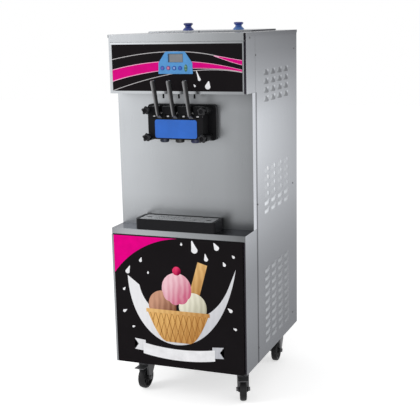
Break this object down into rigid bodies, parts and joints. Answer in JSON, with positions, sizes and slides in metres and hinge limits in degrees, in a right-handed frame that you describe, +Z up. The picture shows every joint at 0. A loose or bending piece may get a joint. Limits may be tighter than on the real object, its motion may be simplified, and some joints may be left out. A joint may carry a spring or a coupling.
{
  "type": "soft serve machine",
  "caption": "Floor-standing soft serve machine on casters: overhanging head, dispensing block with draw handles and star knobs, drip tray, louvred side panels, lidded hoppers.",
  "frame": {"origin": "middle of the footprint, on the floor", "axes": "+Z up; -Y towards the user, out of the front; +X to the right as seen from the front"},
  "size_m": [0.552, 0.7386, 1.4455],
  "materials": {
    "stainless": "brushed",
    "steel_frame": "satin",
    "cover_print": "satin print",
    "overlay_blue": "satin",
    "display": "gloss",
    "bright_screw": "polished",
    "black_plastic": "satin",
    "piston_white": "satin",
    "nozzle_dark": "satin",
    "plate_blue": "gloss",
    "knob_blue": "gloss",
    "motor_grey": "cast",
    "compressor_black": "gloss",
    "caster_zinc": "zinc plate",
    "wheel_black": "satin",
    "key_violet": "satin",
    "key_red": "satin",
    "key_grey": "satin",
    "key_blue": "satin"
  },
  "bodies": {
    "cabinet": {"base_pan": "steel_frame", "mid_shelf": "steel_frame", "head_housing": "stainless", "splash_panel": "stainless", "lower_housing": "stainless", "side_panel_right": "stainless", "side_panel_left": "stainless", "rear_panel": "stainless", "top_deck": "stainless", "head_front_cover": "stainless", "head_graphic_panel": "cover_print", "lower_front_cover": "cover_print", "control_overlay": "overlay_blue", "display_lenses": "display", "panel_screws": "bright_screw", "freezing_cylinders": "stainless", "gear_motors": "motor_grey", "condensing_unit": "compressor_black", "dispensing_block": "black_plastic", "handle_pin": "bright_screw", "block_plate": "plate_blue", "nozzle_caps": "nozzle_dark", "handle_switches": "black_plastic", "cable_gland": "black_plastic", "hopper_left": "stainless", "hopper_right": "stainless", "caster_plates": "caster_zinc"},
    "control_key_1": {"control_key_1": "key_violet"},
    "control_key_2": {"control_key_2": "key_red"},
    "control_key_3": {"control_key_3": "key_grey"},
    "control_key_4": {"control_key_4": "key_blue"},
    "draw_handle_left": {"draw_handle_left": "black_plastic"},
    "valve_piston_left": {"valve_piston_left": "piston_white"},
    "draw_handle_center": {"draw_handle_center": "black_plastic"},
    "valve_piston_center": {"valve_piston_center": "piston_white"},
    "draw_handle_right": {"draw_handle_right": "black_plastic"},
    "valve_piston_right": {"valve_piston_right": "piston_white"},
    "star_knob_upper_left": {"star_knob_upper_left": "black_plastic"},
    "star_knob_upper_right": {"star_knob_upper_right": "black_plastic"},
    "star_knob_lower_left": {"star_knob_lower_left": "black_plastic"},
    "star_knob_lower_right": {"star_knob_lower_right": "black_plastic"},
    "drip_tray": {"drip_tray": "black_plastic"},
    "drip_grille": {"drip_grille": "stainless"},
    "hopper_lid_left": {"hopper_lid_left": "stainless", "lid_knob_left": "knob_blue"},
    "hopper_lid_right": {"hopper_lid_right": "stainless", "lid_knob_right": "knob_blue"},
    "caster_fork_front_left": {"caster_fork_front_left": "caster_zinc"},
    "caster_wheel_front_left": {"caster_wheel_front_left": "wheel_black"},
    "brake_pedal_front_left": {"brake_pedal_front_left": "caster_zinc"},
    "caster_fork_front_right": {"caster_fork_front_right": "caster_zinc"},
    "caster_wheel_front_right": {"caster_wheel_front_right": "wheel_black"},
    "brake_pedal_front_right": {"brake_pedal_front_right": "caster_zinc"},
    "caster_fork_rear_left": {"caster_fork_rear_left": "caster_zinc"},
    "caster_wheel_rear_left": {"caster_wheel_rear_left": "wheel_black"},
    "caster_fork_rear_right": {"caster_fork_rear_right": "caster_zinc"},
    "caster_wheel_rear_right": {"caster_wheel_rear_right": "wheel_black"},
    "beater_left": {"beater_left": "stainless"},
    "beater_right": {"beater_right": "stainless"},
    "fan": {"fan": "black_plastic"}
  },
  "joints": [
    {"name": "control_key_1_press", "type": "slide", "parent": "cabinet", "child": "control_key_1", "axis": [0, 1, 0], "range_m": [0, 0.001], "stiffness_N_per_m": 400, "springref_m": -0.001},
    {"name": "control_key_2_press", "type": "slide", "parent": "cabinet", "child": "control_key_2", "axis": [0, 1, 0], "range_m": [0, 0.001], "stiffness_N_per_m": 400, "springref_m": -0.001},
    {"name": "control_key_3_press", "type": "slide", "parent": "cabinet", "child": "control_key_3", "axis": [0, 1, 0], "range_m": [0, 0.001], "stiffness_N_per_m": 400, "springref_m": -0.001},
    {"name": "control_key_4_press", "type": "slide", "parent": "cabinet", "child": "control_key_4", "axis": [0, 1, 0], "range_m": [0, 0.001], "stiffness_N_per_m": 400, "springref_m": -0.001},
    {"name": "draw_handle_left_pull", "type": "hinge", "parent": "cabinet", "child": "draw_handle_left", "pos_m": [-0.062, -0.29872, 1.1125], "axis": [1, 0, 0], "range_deg": [0, 45]},
    {"name": "valve_piston_left_lift", "type": "slide", "parent": "cabinet", "child": "valve_piston_left", "axis": [0, 0, 1], "range_m": [0, 0.02]},
    {"name": "draw_handle_center_pull", "type": "hinge", "parent": "cabinet", "child": "draw_handle_center", "pos_m": [0, -0.29872, 1.1125], "axis": [1, 0, 0], "range_deg": [0, 45]},
    {"name": "valve_piston_center_lift", "type": "slide", "parent": "cabinet", "child": "valve_piston_center", "axis": [0, 0, 1], "range_m": [0, 0.02]},
    {"name": "draw_handle_right_pull", "type": "hinge", "parent": "cabinet", "child": "draw_handle_right", "pos_m": [0.062, -0.29872, 1.1125], "axis": [1, 0, 0], "range_deg": [0, 45]},
    {"name": "valve_piston_right_lift", "type": "slide", "parent": "cabinet", "child": "valve_piston_right", "axis": [0, 0, 1], "range_m": [0, 0.02]},
    {"name": "star_knob_upper_left_turn", "type": "hinge", "parent": "cabinet", "child": "star_knob_upper_left", "pos_m": [-0.11, -0.31372, 1.133], "axis": [0, -1, 0], "continuous": true},
    {"name": "star_knob_upper_right_turn", "type": "hinge", "parent": "cabinet", "child": "star_knob_upper_right", "pos_m": [0.11, -0.31372, 1.133], "axis": [0, -1, 0], "continuous": true},
    {"name": "star_knob_lower_left_turn", "type": "hinge", "parent": "cabinet", "child": "star_knob_lower_left", "pos_m": [-0.11, -0.31372, 1.034], "axis": [0, -1, 0], "continuous": true},
    {"name": "star_knob_lower_right_turn", "type": "hinge", "parent": "cabinet", "child": "star_knob_lower_right", "pos_m": [0.11, -0.31372, 1.034], "axis": [0, -1, 0], "continuous": true},
    {"name": "drip_tray_lift", "type": "slide", "parent": "cabinet", "child": "drip_tray", "axis": [0, 0, 1], "range_m": [0, 0.06]},
    {"name": "drip_grille_lift", "type": "slide", "parent": "drip_tray", "child": "drip_grille", "axis": [0, 0, 1], "range_m": [0, 0.04]},
    {"name": "hopper_lid_left_lift", "type": "slide", "parent": "cabinet", "child": "hopper_lid_left", "axis": [0, 0, 1], "range_m": [0, 0.08]},
    {"name": "hopper_lid_right_lift", "type": "slide", "parent": "cabinet", "child": "hopper_lid_right", "axis": [0, 0, 1], "range_m": [0, 0.08]},
    {"name": "caster_fork_front_left_swivel", "type": "hinge", "parent": "cabinet", "child": "caster_fork_front_left", "pos_m": [-0.203, -0.18372, 0.1075], "axis": [0, 0, 1], "continuous": true},
    {"name": "caster_wheel_front_left_roll", "type": "hinge", "parent": "caster_fork_front_left", "child": "caster_wheel_front_left", "pos_m": [-0.20467, -0.20767, 0.046], "axis": [-0.9976, 0.0698, 0], "continuous": true},
    {"name": "brake_pedal_front_left_tip", "type": "hinge", "parent": "caster_fork_front_left", "child": "brake_pedal_front_left", "pos_m": [-0.20509, -0.21365, 0.097], "axis": [0.9976, -0.0698, 0], "range_deg": [0, 12]},
    {"name": "caster_fork_front_right_swivel", "type": "hinge", "parent": "cabinet", "child": "caster_fork_front_right", "pos_m": [0.203, -0.18372, 0.1075], "axis": [0, 0, 1], "continuous": true},
    {"name": "caster_wheel_front_right_roll", "type": "hinge", "parent": "caster_fork_front_right", "child": "caster_wheel_front_right", "pos_m": [0.21176, -0.20607, 0.046], "axis": [-0.9311, -0.3649, 0], "continuous": true},
    {"name": "brake_pedal_front_right_tip", "type": "hinge", "parent": "caster_fork_front_right", "child": "brake_pedal_front_right", "pos_m": [0.21395, -0.21166, 0.097], "axis": [0.9311, 0.3649, 0], "range_deg": [0, 12]},
    {"name": "caster_fork_rear_left_swivel", "type": "hinge", "parent": "cabinet", "child": "caster_fork_rear_left", "pos_m": [-0.203, 0.27428, 0.1075], "axis": [0, 0, 1], "continuous": true},
    {"name": "caster_wheel_rear_left_roll", "type": "hinge", "parent": "caster_fork_rear_left", "child": "caster_wheel_rear_left", "pos_m": [-0.20799, 0.2508, 0.046], "axis": [-0.9781, 0.2079, 0], "continuous": true},
    {"name": "caster_fork_rear_right_swivel", "type": "hinge", "parent": "cabinet", "child": "caster_fork_rear_right", "pos_m": [0.203, 0.27428, 0.1075], "axis": [0, 0, 1], "continuous": true},
    {"name": "caster_wheel_rear_right_roll", "type": "hinge", "parent": "caster_fork_rear_right", "child": "caster_wheel_rear_right", "pos_m": [0.20467, 0.25033, 0.046], "axis": [-0.9976, -0.0698, 0], "continuous": true},
    {"name": "beater_left_turn", "type": "hinge", "parent": "cabinet", "child": "beater_left", "pos_m": [-0.062, -0.07572, 1.085], "axis": [0, -1, 0], "continuous": true},
    {"name": "beater_right_turn", "type": "hinge", "parent": "cabinet", "child": "beater_right", "pos_m": [0.062, -0.07572, 1.085], "axis": [0, -1, 0], "continuous": true},
    {"name": "fan_spin", "type": "hinge", "parent": "cabinet", "child": "fan", "pos_m": [-0.075, 0.26928, 0.31], "axis": [0, -1, 0], "continuous": true}
  ],
  "couplings": [
    {"joint": "valve_piston_left_lift", "follows": "draw_handle_left_pull", "m_per_rad": 0.025209},
    {"joint": "valve_piston_center_lift", "follows": "draw_handle_center_pull", "m_per_rad": 0.025209},
    {"joint": "valve_piston_right_lift", "follows": "draw_handle_right_pull", "m_per_rad": 0.025209}
  ]
}
